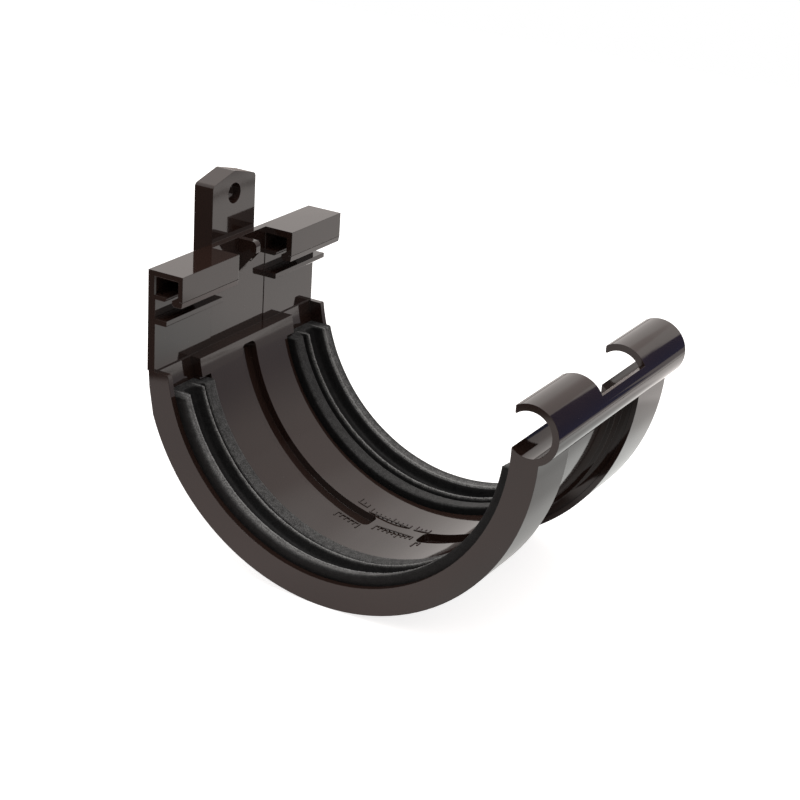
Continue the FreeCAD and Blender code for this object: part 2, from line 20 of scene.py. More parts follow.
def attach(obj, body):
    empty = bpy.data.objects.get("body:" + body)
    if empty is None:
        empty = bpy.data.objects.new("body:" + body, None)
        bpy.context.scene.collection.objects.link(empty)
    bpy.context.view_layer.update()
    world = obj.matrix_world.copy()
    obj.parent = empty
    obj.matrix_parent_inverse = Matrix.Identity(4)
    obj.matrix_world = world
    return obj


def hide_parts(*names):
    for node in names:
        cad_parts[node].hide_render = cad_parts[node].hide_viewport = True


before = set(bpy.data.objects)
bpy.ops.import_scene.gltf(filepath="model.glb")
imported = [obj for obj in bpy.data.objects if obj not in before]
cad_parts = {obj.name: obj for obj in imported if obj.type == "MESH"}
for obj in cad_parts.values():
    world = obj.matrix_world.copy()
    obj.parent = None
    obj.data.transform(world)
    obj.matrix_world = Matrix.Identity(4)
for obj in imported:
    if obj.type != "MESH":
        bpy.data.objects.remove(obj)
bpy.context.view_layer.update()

MM = 0.001
print("CAD nodes:", sorted(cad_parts))

# %% [markdown]
# ## The sizes this lesson repeats
#
# The script can't read the part's source, so the few sizes that the soft
# pieces and the marks need are written once more, in millimetres.  X runs
# along the gutter, Y from the wall to the open front, Z up, and the trough's
# axis is the X axis.  A place on the trough is given as (x, r, a): r is the
# distance from the axis, and a is the angle from straight down.

# %% Sizes in millimetres
SEAT_FLOOR = 63.95
BAND_FLOOR = 61.45
BAND_STEP_X = 26.05
SEAL_OUTER_X = 41.95
SEAL_INNER_X = 22.70
SEAL_TOP_BACK = -14.8
SEAL_TOP_FRONT = -6.2
SADDLE = 60.3
print("seal seat radius", SEAT_FLOOR, "mm, saddle radius", SADDLE, "mm")

# %% [markdown]
# ## From arrays to a mesh
#
# Every new piece is a grid of points worked out with numpy.  A grid turns
# into four-sided faces by one rule, so it needs no loop over its points.
# Faces have to point outwards, or the renderer and a 3-D printer take the
# inside for the outside.  The volume under all faces is positive when they
# point outwards, so its sign tells whether to turn them round.


# %% Mesh helpers
def volume_of(points, quads):
    """Signed volume: the sum over faces of a . (b x c) / 6, two triangles a quad."""
    a, b, c, d = (points[quads[:, k]] for k in range(4))
    first = np.einsum("ij,ij->i", a, np.cross(b, c))
    second = np.einsum("ij,ij->i", a, np.cross(c, d))
    return float((first + second).sum() / 6.0)


def solid_from(name, points, quads, smooth):
    """Closed mesh object from millimetre points; smooth is one flag per face."""
    if volume_of(points, quads) < 0.0:
        quads = quads[:, ::-1]
    mesh = bpy.data.meshes.new(name)
    mesh.from_pydata((points * MM).tolist(), [], quads.tolist())
    mesh.polygons.foreach_set("use_smooth", np.asarray(smooth, dtype=bool))
    mesh.update()
    obj = bpy.data.objects.new(name, mesh)
    bpy.context.scene.collection.objects.link(obj)
    print(name, len(quads), "faces,", round(abs(volume_of(points, quads))), "mm3")
    return obj


def store(obj, name, values):
    """Keep one number per point, for a material to read by its name."""
    layer = obj.data.attributes.new(name, "FLOAT", "POINT")
    layer.data.foreach_set("value", np.asarray(values, dtype=np.float32).ravel())


def on_trough(x, r, a):
    """Points (x, -r sin a, -r cos a): a is the angle from straight down, + to the wall."""
    return np.stack([x, -r * np.sin(a), -r * np.cos(a)], axis=-1)


def wander(count, waves, seed):
    """Smooth random line within -1..1: a sum of sines whose size falls as 1 / k^0.8."""
    rng = np.random.default_rng(seed)
    k = np.arange(1, waves + 1)[:, None]
    size = rng.normal(size=(waves, 1)) / k ** 0.8
    phase = rng.uniform(0.0, 2.0 * math.pi, (waves, 1))
    line = (size * np.sin(2.0 * math.pi * k * np.linspace(0.0, 1.0, count) + phase)).sum(axis=0)
    return line / np.abs(line).max()


print("mesh helpers ready")

# %% [markdown]
# ## Rubber seals: the section
#
# A seal is an extruded strip that is bent into its seat.  Its section has a
# broad outer lip beside the flange, a narrow middle lip, and a flat band
# that lies in the rebate of the saddle.  It could be modelled by hand as a
# curve with a bevel profile.  A list of corners is easier to correct
# against the photograph, so the upper side is drawn as (x, r) corners, and
# the under side lies straight below it on the floor of the seat.
#
# Chaikin's corner cutting rounds the drawing: each side from p to q leaves
# two points, 3/4 p + 1/4 q and 1/4 p + 3/4 q.

# %% Seal section
UPPER = np.array([
    (41.95, 63.90), (41.95, 59.60), (41.95, 57.10), (41.92, 56.45), (41.60, 56.12),
    (41.00, 56.10), (40.20, 56.25), (39.00, 56.40), (38.20, 56.42), (37.95, 56.60),
    (37.80, 56.95), (37.65, 57.00), (37.40, 57.15), (37.15, 57.80), (36.95, 58.90),
    (36.70, 60.00), (36.20, 60.45), (34.50, 60.60), (32.20, 60.55), (31.60, 60.20),
    (31.20, 59.30), (30.75, 58.20), (30.35, 57.45), (30.00, 57.15), (29.70, 57.20),
    (29.45, 57.60), (29.25, 58.60), (29.00, 59.50), (28.60, 59.75), (28.20, 59.50),
    (27.90, 58.70), (27.60, 58.15), (27.20, 57.95), (26.50, 57.90), (24.00, 57.90),
    (23.30, 57.95), (22.95, 58.15), (22.75, 58.70), (22.70, 59.60), (22.70, 61.40),
])


def cut_corners(path):
    """One round of Chaikin's corner cutting on an open path, whose ends stay."""
    near = 0.75 * path[:-1] + 0.25 * path[1:]
    far = 0.25 * path[:-1] + 0.75 * path[1:]
    inner = np.stack([near, far], axis=1).reshape(-1, 2)
    return np.vstack([path[:1], inner, path[-1:]])


upper = cut_corners(UPPER)
lower = np.stack([upper[:, 0], np.where(upper[:, 0] < BAND_STEP_X, BAND_FLOOR, SEAT_FLOOR)], axis=-1)
past_step = int(np.argmax(upper[:, 0] < BAND_STEP_X))
lower[past_step - 1:past_step + 1, 0] = BAND_STEP_X
section = np.vstack([upper, lower[::-1]])
print("seal section:", len(section), "points")

# %% [markdown]
# Whatever stands proud turns grey: partly a bloom that talc and handling
# leave, partly a painted highlight where light catches the crests.  The
# valleys and the flanks stay black.  How proud a point stands is known here,
# where the section is drawn, so the grey is stored on the mesh as a number
# called `crest`.
# Each crest is a bell curve over x, exp(-((x - middle) / width)^2).


# %% Crests of the section
def bell(x, middle, width):
    """1 at the middle, falling off as exp(-((x - middle) / width)^2)."""
    return np.exp(-((x - middle) / width) ** 2)


sec_x, sec_r = section.T
# a crest counts above a height alone, that is below a radius: each flank stays black, and the painted
# highlight lies on the tops alone
lip_top = bell(sec_x, 39.50, 1.60) * (sec_r < 56.9)
lip_edge = bell(sec_x, 38.20, 0.42) * (sec_r < 57.1)
middle_lip = bell(sec_x, 29.90, 0.40) * (sec_r < 58.3)
band = 0.44 * ((sec_x < 27.7) & (sec_r < 58.4))
# painted highlights along both edges of the flat band
band_edges = (0.70 * bell(sec_x, 27.25, 0.25) + 0.60 * bell(sec_x, 23.05, 0.25)) * (sec_r < 58.6)
print("section points on a crest:", int((np.max([lip_top, lip_edge, middle_lip], axis=0) > 0.5).sum()))

# %% [markdown]
# ## Rubber seals: the sweep
#
# The section is carried round the X axis as one array of steps by section
# points.  A curve object with a bevel profile would do the same, but here
# every point stays in reach.  The strip is cut off level at its ends, so
# each section point has its own end angle, the one whose cosine is -z / r.
#
# Real rubber is never quite even.  Smooth random lines move the crests by a
# tenth or two of a millimetre, a finer one frays the thin edges, and the
# knife leaves the ends a little ragged.

# %% Sweep the seals
STEPS = 420
WANDER_R, WANDER_X, RIPPLE, FRAY = 0.13, 0.16, 0.04, 0.055
RAGGED_END, END_LIFT = 0.12, 0.1
WAVES_R, WAVES_RIPPLE, WAVES_MIDDLE, WAVES_EDGE = 9, 46, 11, 8
# rubber lower than FIXED_DEPTH above the seat can't move, and FREE_DEPTH higher it is free
FIXED_DEPTH, FREE_DEPTH = 2.6, 2.5
END_FADE = 14.0
# how grey each crest is painted, bloom and painted highlight together
LIP_TOP_BLOOM_AND_HIGHLIGHT, LIP_EDGE_HIGHLIGHT_AND_BLOOM, MIDDLE_LIP_HIGHLIGHT_AND_BLOOM = 0.90, 2.4, 2.0


def build_seal(name, twin, side, seed, lip_grey_bloom_and_highlight, band_grey_bloom_and_highlight):
    """One seal.  Point (i, j) is section point j at angle a0 + (a1 - a0) i / (STEPS - 1).

    The next to last number tells how grey the broad lip is painted, as bloom and painted highlight, and
    the last the same of the flat band.
    """
    rng = np.random.default_rng(seed)
    count = len(section)
    free = np.clip((SEAT_FLOOR - FIXED_DEPTH - sec_r) / FREE_DEPTH, 0.0, 1.0)
    thin = np.maximum(lip_edge, middle_lip)
    t = np.linspace(0.0, 1.0, STEPS)[:, None]
    fade = np.minimum(1.0, END_FADE * t * (1.0 - t))

    wave_r = wander(STEPS, WAVES_R, seed)[:, None] * (0.35 + middle_lip + 0.5 * lip_top)
    ripple = wander(STEPS, WAVES_RIPPLE, seed + 2)[:, None]
    fray = rng.normal(size=(STEPS, 1)) * thin + 0.5 * rng.normal(size=(STEPS, count)) * thin
    r = sec_r + free * (WANDER_R * wave_r + RIPPLE * ripple + FRAY * fray)
    wave_x = wander(STEPS, WAVES_MIDDLE, seed + 1)[:, None] * middle_lip
    wave_x = wave_x + wander(STEPS, WAVES_EDGE, seed + 3)[:, None] * 0.5 * lip_edge
    x = sec_x + free * fade * WANDER_X * wave_x

    ragged = RAGGED_END * rng.uniform(-1.0, 1.0, (2, count)) * free
    start = np.arccos(np.clip(-(SEAL_TOP_BACK + ragged[0] - END_LIFT) / sec_r, -1.0, 1.0))
    end = -np.arccos(np.clip(-(SEAL_TOP_FRONT + ragged[1] - END_LIFT) / sec_r, -1.0, 1.0))
    points = on_trough(side * np.clip(x, SEAL_INNER_X, SEAL_OUTER_X), r, start + (end - start) * t)

    # Four-sided faces along the strip, and one strip of them across each cut end.
    here = np.arange(count)
    ahead = np.roll(here, -1)
    row = np.arange(STEPS - 1)[:, None] * count
    sides = np.stack([row + here, row + ahead, row + count + ahead, row + count + here], axis=-1)
    j = np.arange(len(upper) - 1)
    cap = np.stack([j, j + 1, count - 2 - j, count - 1 - j], axis=-1)
    quads = np.vstack([sides.reshape(-1, 4), cap[:, ::-1], cap + (STEPS - 1) * count])
    swept = (STEPS - 1) * count
    obj = solid_from(name, points.reshape(-1, 3), quads, np.arange(len(quads)) < swept)
    obj.data.polygons.foreach_set("material_index", (np.arange(len(quads)) >= swept).astype(np.int32))
    grey_band = band_grey_bloom_and_highlight * np.maximum(band, band_edges)
    # bloom, with a painted highlight on the lip edge and the middle lip most of all
    crest_greys_bloom_and_highlight = [LIP_TOP_BLOOM_AND_HIGHLIGHT * lip_grey_bloom_and_highlight * lip_top, LIP_EDGE_HIGHLIGHT_AND_BLOOM * lip_edge, MIDDLE_LIP_HIGHLIGHT_AND_BLOOM * middle_lip]
    crest = np.max([*crest_greys_bloom_and_highlight, grey_band], axis=0)
    store(obj, "crest", np.broadcast_to(crest, (STEPS, count)))
    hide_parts(twin)
    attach(obj, "root")
    return obj


seal_plus = build_seal("rubber_seal_plus_x", "seal_plus_x", 1.0, 11, lip_grey_bloom_and_highlight=1.0, band_grey_bloom_and_highlight=1.0)
seal_minus = build_seal("rubber_seal_minus_x", "seal_minus_x", -1.0, 29, lip_grey_bloom_and_highlight=0.85, band_grey_bloom_and_highlight=0.45)

# %% [markdown]
# ## Moulded marks
#
# Near the bottom of the saddle lie rows of small raised marks: a plain scale
# of ticks on each side of the groove, as mouldings often carry.  A bump map
# could draw it.  A bump map has no edge that stands up at a low viewing
# angle, so each tick is a real little block with sloping sides.
#
# A tick is a stack of three rectangles wrapped on the saddle: a foot sunk
# in the wall, a shoulder, and a smaller top.

# %% Tick marks on the saddle
TICK_WIDTH, TICK_RISE, TICK_SHOULDER, TICK_SINK, TICK_SLOPE = 0.56, 0.28, 0.4, 0.05, 0.13
# base line x, direction of the ticks along x, first and last angle in degrees
SCALES = ((-4.55, -1.0, -12.4, 3.1), (-4.10, -1.0, 4.2, 9.4), (-6.30, -1.0, -17.6, -13.4),
          (1.00, 1.0, -6.6, 7.6), (4.60, 1.0, -18.6, -9.8), (4.60, 1.0, 9.2, 12.6))
PITCH, SHORT, LONG, LONG_EVERY = 1.60, 1.95, 3.00, 5


def scale_boxes(base_x, towards, first, last):
    """Rows (x low, x high, a low, a high) of one scale: a base line, then its ticks."""
    half = math.degrees(TICK_WIDTH / SADDLE) / 2.0
    a = np.arange(first + half, last, PITCH)
    length = np.where(np.arange(len(a)) % LONG_EVERY == 0, LONG, SHORT)
    ends = np.sort(np.stack([np.full(len(a), base_x), base_x + towards * length], axis=-1), axis=-1)
    bars = np.column_stack([ends, a - half, a + half])
    line = np.array([[base_x - TICK_WIDTH / 2.0, base_x + TICK_WIDTH / 2.0, first, a[-1] + half]])
    return np.vstack([line, bars])


def build_ticks():
    """All blocks at once: 3 levels x 4 corners each, joined by 10 faces."""
    boxes = np.vstack([scale_boxes(*scale) for scale in SCALES])
    inset = np.array([0.0, 0.0, TICK_SLOPE])[None, :, None]
    radius = SADDLE + np.array([TICK_SINK, -TICK_SHOULDER * TICK_RISE, -TICK_RISE])[None, :, None]
    x_low, x_high, a_low, a_high = (boxes[:, k][:, None, None] for k in range(4))
    right = np.array([0.0, 1.0, 1.0, 0.0])
    front = np.array([0.0, 0.0, 1.0, 1.0])
    x = x_low + inset + (x_high - x_low - 2.0 * inset) * right
    turn = inset / math.radians(1.0) / SADDLE
    a = a_low + turn + (a_high - a_low - 2.0 * turn) * front
    points = on_trough(x, np.broadcast_to(radius, x.shape), -np.radians(a))
    c = np.arange(4)
    ahead = np.roll(c, -1)
    walls = np.stack([c, ahead, ahead + 4, c + 4], axis=-1)
    block = np.vstack([walls, walls + 4, [[8, 9, 10, 11], [3, 2, 1, 0]]])
    quads = (block[None] + 12 * np.arange(len(boxes))[:, None, None]).reshape(-1, 4)
    return solid_from("tick_scale", points.reshape(-1, 3), quads, np.zeros(len(quads)))


marks = build_ticks()
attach(marks, "root")

# %% [markdown]
# ## Shader helpers
#
# A material is a graph of nodes.  A few helpers keep the code that draws it
# readable: they add a node, join values by arithmetic, turn a value into a
# mask with soft edges, lay one colour over another, and start a group with
# its named inputs and outputs.  A soft edge is written as a pair: the value
# at which the mask is still 0, and the value at which it has reached 1.


# %% Node helpers
def node(tree, kind, label="", inputs=None, **settings):
    """Add one shader node, set its properties, and fill or link its inputs."""
    made = tree.nodes.new(kind)
    made.label = label
    for key, value in settings.items():
        setattr(made, key, value)
    for key, value in (inputs or {}).items():
        if isinstance(value, bpy.types.NodeSocket):
            tree.links.new(value, made.inputs[key])
        else:
            made.inputs[key].default_value = value
    return made


def maths(tree, operation, *values):
    """One Math node on numbers or sockets; gives its output socket."""
    return node(tree, "ShaderNodeMath", operation=operation, inputs=dict(enumerate(values))).outputs[0]


def ramp(tree, value, low, high, to_low=0.0, to_high=1.0, kind="SMOOTHSTEP"):
    """to_low below low, to_high above high, smooth between; swap low and high to turn it round."""
    return node(tree, "ShaderNodeMapRange", interpolation_type=kind,
                inputs={"Value": value, "From Min": low, "From Max": high,
                        "To Min": to_low, "To Max": to_high}).outputs["Result"]


def times(tree, one, other):
    """Product of two numbers, such as the overlap of two masks."""
    return maths(tree, "MULTIPLY", one, other)


def between(tree, value, rise, fall):
    """Mask: 1 between two soft edges."""
    return times(tree, ramp(tree, value, *rise), ramp(tree, value, *fall))


def over(tree, mask, below, above):
    """The colour `above` laid over `below` wherever the mask is 1."""
    return node(tree, "ShaderNodeMix", data_type="RGBA",
                inputs={"Factor": mask, "A": below, "B": above}).outputs["Result"]


def new_group(name, inputs, outputs):
    """Empty shader group; inputs and outputs are (name, socket kind, value)."""
    tree = bpy.data.node_groups.new(name, "ShaderNodeTree")
    for label, kind, value in inputs:
        tree.interface.new_socket(name=label, in_out="INPUT", socket_type=kind).default_value = value
    for label, kind in outputs:
        tree.interface.new_socket(name=label, in_out="OUTPUT", socket_type=kind)
    given = node(tree, "NodeGroupInput").outputs
    out = node(tree, "NodeGroupOutput").inputs
    place = node(tree, "ShaderNodeTexCoord").outputs["Object"]
    return tree, given, out, place


COLOUR, NUMBER, DIRECTION = "NodeSocketColor", "NodeSocketFloat", "NodeSocketVector"
print("node helpers ready")

# %% [markdown]
# ## Effects that several materials share
#
# Plastic, rubber and marks all have clouded colour, fine relief and a
# little dust, only in other amounts.  Each effect is built once as a group.
# A group hands out colours, numbers and normals that vary over the surface.
# The shader itself stays in the material, where an exporter can read it.
# All of them read Object coordinates, so nothing slides when the piece is
# seen from another side.


# %% Group: clouded colour
def clouded_colour():
    """Colour times (1 + Variation * noise): streaks where the melt flowed."""
    tree, given, out, place = new_group(
        "CloudedColour",
        [("Colour", COLOUR, (0.5, 0.5, 0.5, 1)), ("Scale", NUMBER, 18.0), ("Variation", NUMBER, 0.2)],
        [("Colour", COLOUR)])
    cloud = node(tree, "ShaderNodeTexNoise", "flow in the melt",
                 inputs={"Vector": place, "Scale": given["Scale"], "Detail": 3.0, "Distortion": 0.6})
    centred = ramp(tree, cloud.outputs["Fac"], 0.3, 0.7, -1.0, 1.0, "LINEAR")
    gain = maths(tree, "MULTIPLY_ADD", centred, given["Variation"], 1.0)
    shade = node(tree, "ShaderNodeVectorMath", operation="SCALE",
                 inputs={0: given["Colour"], "Scale": gain})
    tree.links.new(shade.outputs["Vector"], out["Colour"])
    return tree


CLOUDED = clouded_colour()
print("group", CLOUDED.name, len(CLOUDED.nodes), "nodes")


# %% Group: smears
def smears():
    """Roughness between Clean and Smeared, by cloudy patches of handling."""
    tree, given, out, place = new_group(
        "HandlingSmears",
        [("Clean", NUMBER, 0.05), ("Smeared", NUMBER, 0.1), ("Scale", NUMBER, 55.0)],
        [("Roughness", NUMBER)])
    cloud = node(tree, "ShaderNodeTexNoise", "where hands were",
                 inputs={"Vector": place, "Scale": given["Scale"], "Detail": 5.0, "Roughness": 0.6})
    rough = ramp(tree, cloud.outputs["Fac"], 0.35, 0.75, given["Clean"], given["Smeared"], "LINEAR")
    tree.links.new(rough, out["Roughness"])
    return tree


SMEARS = smears()
print("group", SMEARS.name, len(SMEARS.nodes), "nodes")


# %% Group: dust
def dust_specks():
    """Mask of small round specks that gather in patches."""
    tree, given, out, place = new_group(
        "DustSpecks",
        [("Scale", NUMBER, 620.0), ("Patch Scale", NUMBER, 130.0), ("Amount", NUMBER, 0.3)],
        [("Mask", NUMBER)])
    cell = node(tree, "ShaderNodeTexVoronoi", "specks",
                inputs={"Vector": place, "Scale": given["Scale"]})
    dot = ramp(tree, cell.outputs["Distance"], 0.055, 0.03)
    cloud = node(tree, "ShaderNodeTexNoise", "where dust lies",
                 inputs={"Vector": place, "Scale": given["Patch Scale"], "Detail": 2.0})
    patch = ramp(tree, cloud.outputs["Fac"], 0.52, 0.66)
    mask = times(tree, times(tree, dot, patch), given["Amount"])
    tree.links.new(mask, out["Mask"])
    return tree


DUST = dust_specks()
print("group", DUST.name, len(DUST.nodes), "nodes")


# %% Group: fine relief
def fine_relief():
    """Normal: edges softened by Edge Radius, then broad sink marks, then a noise of Depth metres."""
    tree, given, out, place = new_group(
        "FineRelief",
        [("Scale", NUMBER, 260.0), ("Strength", NUMBER, 0.03), ("Depth", NUMBER, 0.00025),
         ("Edge Radius", NUMBER, 0.00015), ("Sink", NUMBER, 0.0)],
        [("Normal", DIRECTION)])
    edge = node(tree, "ShaderNodeBevel", "soft edge", samples=6, inputs={"Radius": given["Edge Radius"]})
    wave = node(tree, "ShaderNodeTexNoise", "sink marks",
                inputs={"Vector": place, "Scale": 55.0, "Detail": 1.0})
    sunk = node(tree, "ShaderNodeBump", inputs={
        "Strength": given["Sink"], "Distance": 0.0003,
        "Height": wave.outputs["Fac"], "Normal": edge.outputs["Normal"]})
    relief = node(tree, "ShaderNodeTexNoise", "relief",
                  inputs={"Vector": place, "Scale": given["Scale"], "Detail": 2.5})
    bump = node(tree, "ShaderNodeBump", inputs={
        "Strength": given["Strength"], "Distance": given["Depth"],
        "Height": relief.outputs["Fac"], "Normal": sunk.outputs["Normal"]})
    tree.links.new(bump.outputs["Normal"], out["Normal"])
    return tree


RELIEF = fine_relief()
print("group", RELIEF.name, len(RELIEF.nodes), "nodes")


# %% [markdown]
# ## Mould line
#
# The two channels carry a thin dark line along their front, where two parts
# of the mould meet.  It is a quarter of a millimetre wide, so it is painted
# as a mask by height, which makes a shallow groove with a rougher floor.  A
# real cut in the mesh would show no more at this size.

# %% Group: mould line
LINE_HEIGHT, LINE_HALF = 0.01695, 0.00013
LINE_BEHIND, LINE_BEFORE, LINE_ASIDE = -0.0550, 0.0, 0.010


def mould_line():
    """Mask: 1 where |z - LINE_HEIGHT| < LINE_HALF, on the front of the channels alone."""
    tree, given, out, place = new_group("MouldLine", [("Softness", NUMBER, 0.00007)], [("Mask", NUMBER)])
    spot = node(tree, "ShaderNodeSeparateXYZ", inputs={0: place}).outputs
    off = maths(tree, "ABSOLUTE", maths(tree, "SUBTRACT", spot["Z"], LINE_HEIGHT))
    level = maths(tree, "DIVIDE", maths(tree, "SUBTRACT", LINE_HALF, off), given["Softness"])
    behind = maths(tree, "GREATER_THAN", spot["Y"], LINE_BEHIND)
    before = maths(tree, "LESS_THAN", spot["Y"], LINE_BEFORE)
    aside = maths(tree, "GREATER_THAN", maths(tree, "ABSOLUTE", spot["X"]), LINE_ASIDE)
    there = times(tree, times(tree, behind, before), aside)
    mask = times(tree, ramp(tree, level, 0.0, 1.0), there)
    tree.links.new(mask, out["Mask"])
    return tree


LINE = mould_line()
print("group", LINE.name, len(LINE.nodes), "nodes")

# %% [markdown]
# ## Glossy brown plastic
#
# The body is dark brown PVC, straight from a polished mould.  It shows
# sharp reflections, with a faint orange peel, a few smears and a little
# dust.  The colour in shadow is the plastic's own, nearly black brown, and
# everything lighter is the room, mirrored at about four per cent.  So the
# base colour is kept very dark, and the light is painted in the studio.


# %% Plastic materials
def blank_material(name):
    """Material with an empty graph, its Principled BSDF and its output."""
    made = bpy.data.materials.new(name)
    made.use_nodes = True
    tree = made.node_tree
    tree.nodes.clear()
    skin = node(tree, "ShaderNodeBsdfPrincipled")
    out = node(tree, "ShaderNodeOutputMaterial")
    tree.links.new(skin.outputs["BSDF"], out.inputs["Surface"])
    return made, tree, skin


def placed(tree, group, **values):
    """Put a group into a material with its own values."""
    made = node(tree, "ShaderNodeGroup", group.name)
    made.node_tree = group
    for key, value in values.items():
        made.inputs[key.replace("_", " ")].default_value = value
    return made.outputs[0]


DUST_COLOUR = (0.42, 0.40, 0.38, 1)
LINE_ROUGHNESS, LINE_DEPTH = 0.70, 0.00015


def plastic(name, colour, clean, smeared, dust, peel, sink):
    """Dark glossy plastic: roughness clean and smeared, and how much dust, peel and sink it has."""
    made, tree, skin = blank_material(name)
    tint = placed(tree, CLOUDED, Colour=(*colour, 1), Scale=18.0, Variation=0.13)
    specks = placed(tree, DUST, Amount=dust)
    tree.links.new(over(tree, specks, tint, DUST_COLOUR), skin.inputs["Base Color"])
    line = placed(tree, LINE, Softness=0.00007)
    polish = placed(tree, SMEARS, Clean=clean, Smeared=smeared)
    rough = maths(tree, "MAXIMUM", polish, times(tree, line, LINE_ROUGHNESS))
    tree.links.new(rough, skin.inputs["Roughness"])
    relief = placed(tree, RELIEF, Scale=230.0, Strength=peel, Sink=sink)
    groove = node(tree, "ShaderNodeBump", "mould line", invert=True,
                  inputs={"Strength": 0.8, "Distance": LINE_DEPTH, "Height": line, "Normal": relief})
    tree.links.new(groove.outputs["Normal"], skin.inputs["Normal"])
    skin.inputs["IOR"].default_value = 1.5
    return made


PLASTIC_BROWN = (0.0205, 0.0115, 0.0092)
brown = plastic("gloss_brown_plastic", PLASTIC_BROWN,
                clean=0.045, smeared=0.085, dust=0.25, peel=0.008, sink=0.16)
mark_brown = plastic("raised_marks_plastic", PLASTIC_BROWN,
                     clean=0.10, smeared=0.16, dust=0.15, peel=0.02, sink=0.0)
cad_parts["union_body"].data.materials.clear()
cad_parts["union_body"].data.materials.append(brown)
marks.data.materials.append(mark_brown)
print("plastic materials:", brown.name, mark_brown.name)

# %% [markdown]
# ## Black rubber
#
# The rubber is nearly matt and black in its valleys.  On the crests the
# grey, a bloom together with a painted highlight, breaks up into grains of a
# third of a millimetre, denser in some places than in others.  One material
# could paint that with a picture, but two noises, one fine and one broad,
# follow the strip without a seam.
# The knife-cut ends are fresh rubber with a lighter, torn rim.


# %% Rubber materials
GRAINS, PATCHES = 3200.0, 520.0
RUBBER_SPECULAR = 0.13


def rubber(name, black, bloom_and_highlight_colour, bloom_everywhere, roughness, relief):
    """Rubber: black below, grey bloom and painted highlight where the stored crest number and two noises
    agree.
    """
    made, tree, skin = blank_material(name)
    place = node(tree, "ShaderNodeTexCoord").outputs["Object"]
    crest = node(tree, "ShaderNodeAttribute", attribute_name="crest").outputs["Fac"]
    fine = node(tree, "ShaderNodeTexNoise", "grains",
                inputs={"Vector": place, "Scale": GRAINS, "Detail": 2.0})
    broad = node(tree, "ShaderNodeTexNoise", "patches",
                 inputs={"Vector": place, "Scale": PATCHES, "Detail": 4.0})
    grains = ramp(tree, fine.outputs["Fac"], 0.36, 0.62, 0.25, 1.0)
    patches = ramp(tree, broad.outputs["Fac"], 0.30, 0.66, 0.60, 1.0)
    proud = maths(tree, "MAXIMUM", crest, bloom_everywhere)
    mask = times(tree, times(tree, grains, patches), proud)
    tint = placed(tree, CLOUDED, Colour=(*black, 1), Scale=90.0, Variation=0.25)
    black_with_bloom_and_highlight = over(tree, mask, tint, (*bloom_and_highlight_colour, 1))
    specks = placed(tree, DUST, Scale=900.0, Patch_Scale=160.0, Amount=0.35)
    tree.links.new(over(tree, specks, black_with_bloom_and_highlight, DUST_COLOUR), skin.inputs["Base Color"])
    pores = placed(tree, RELIEF, Scale=1500.0, Strength=relief, Edge_Radius=0.0001)
    tree.links.new(pores, skin.inputs["Normal"])
    skin.inputs["Roughness"].default_value = roughness
    skin.inputs["IOR"].default_value = 1.5
    skin.inputs["Specular IOR Level"].default_value = RUBBER_SPECULAR
    return made


RUBBER_BLACK = (0.0042, 0.0044, 0.0048)
# grey of the crests: bloom and painted highlight
RUBBER_BLOOM_AND_HIGHLIGHT = (0.230, 0.236, 0.236)
black = rubber("seal_rubber", RUBBER_BLACK, RUBBER_BLOOM_AND_HIGHLIGHT,
               bloom_everywhere=0.05, roughness=0.5, relief=0.35)
cut_black = rubber("cut_rubber", RUBBER_BLACK, RUBBER_BLOOM_AND_HIGHLIGHT,
                   bloom_everywhere=0.26, roughness=0.6, relief=0.6)
for seal in (seal_plus, seal_minus):
    seal.data.materials.append(black)
    seal.data.materials.append(cut_black)
print("rubber materials:", black.name, cut_black.name)

# %% [markdown]
# ## Studio: the room
#
# The photograph is a packshot on white.  Dark gloss shows whatever stands
# round it, so the room is painted: a white wall behind, a lit ceiling, and
# an unlit part to the right, which leaves the blue-black band on the roll.
# Real card and lamps would do as well, but a painted world is one place to
# correct.  The camera itself sees plain white.
#
# Azimuth is measured in degrees from the wall's middle.  The height z of a
# ray's direction is the sine of its elevation.  Each field is painted over
# the ones before it, between edges that are given as pairs.  Two of the
# edges lean: they move sideways with the height of the ray.

# %% World
WALL_MIDDLE = 165.0
UNLIT = (0.120, 0.098, 0.090, 1)
BLUE_BLACK = (0.055, 0.085, 0.195, 1)
FAR_ROOM_LOW = (0.46, 0.43, 0.45, 1)
FAR_ROOM_HIGH = (0.86, 0.78, 0.75, 1)
WALL_WHITE = (1.17, 1.11, 1.07, 1)
CEILING = (0.90, 0.815, 0.785, 1)
LAMP_WHITE = (1.22, 1.15, 1.11, 1)
# edges by azimuth in degrees
FAR_ROOM_FROM, FAR_ROOM_TO = (-75.0, -71.0), (-24.0, -28.0)
BLUE_FROM, BLUE_TO = (-51.8, -50.2), (-38.0, -39.0)
WALL_FROM, WALL_TO = (-39.0, -38.0), (70.0, 60.0)
HORIZON_FROM, CEILING_BRIGHTENS = (-5.0, 5.0), (-12.0, 6.0)
# edges by height of the ray
FAR_ROOM_BRIGHTENS = (0.0, 0.42)
HORIZON_LOW, HORIZON_HIGH, HORIZON_DEPTH = (-0.030, -0.018), (0.030, 0.018), 0.85
CEILING_FROM, LAMP_FROM = (0.465, 0.48), (0.60, 0.66)
# lean of an edge: from height, to height, degrees at the first, degrees at the second
WALL_LEAN, BLUE_LEAN = (0.30, 0.60, 0.0, -10.8), (0.0, 0.45, 0.0, -9.0)


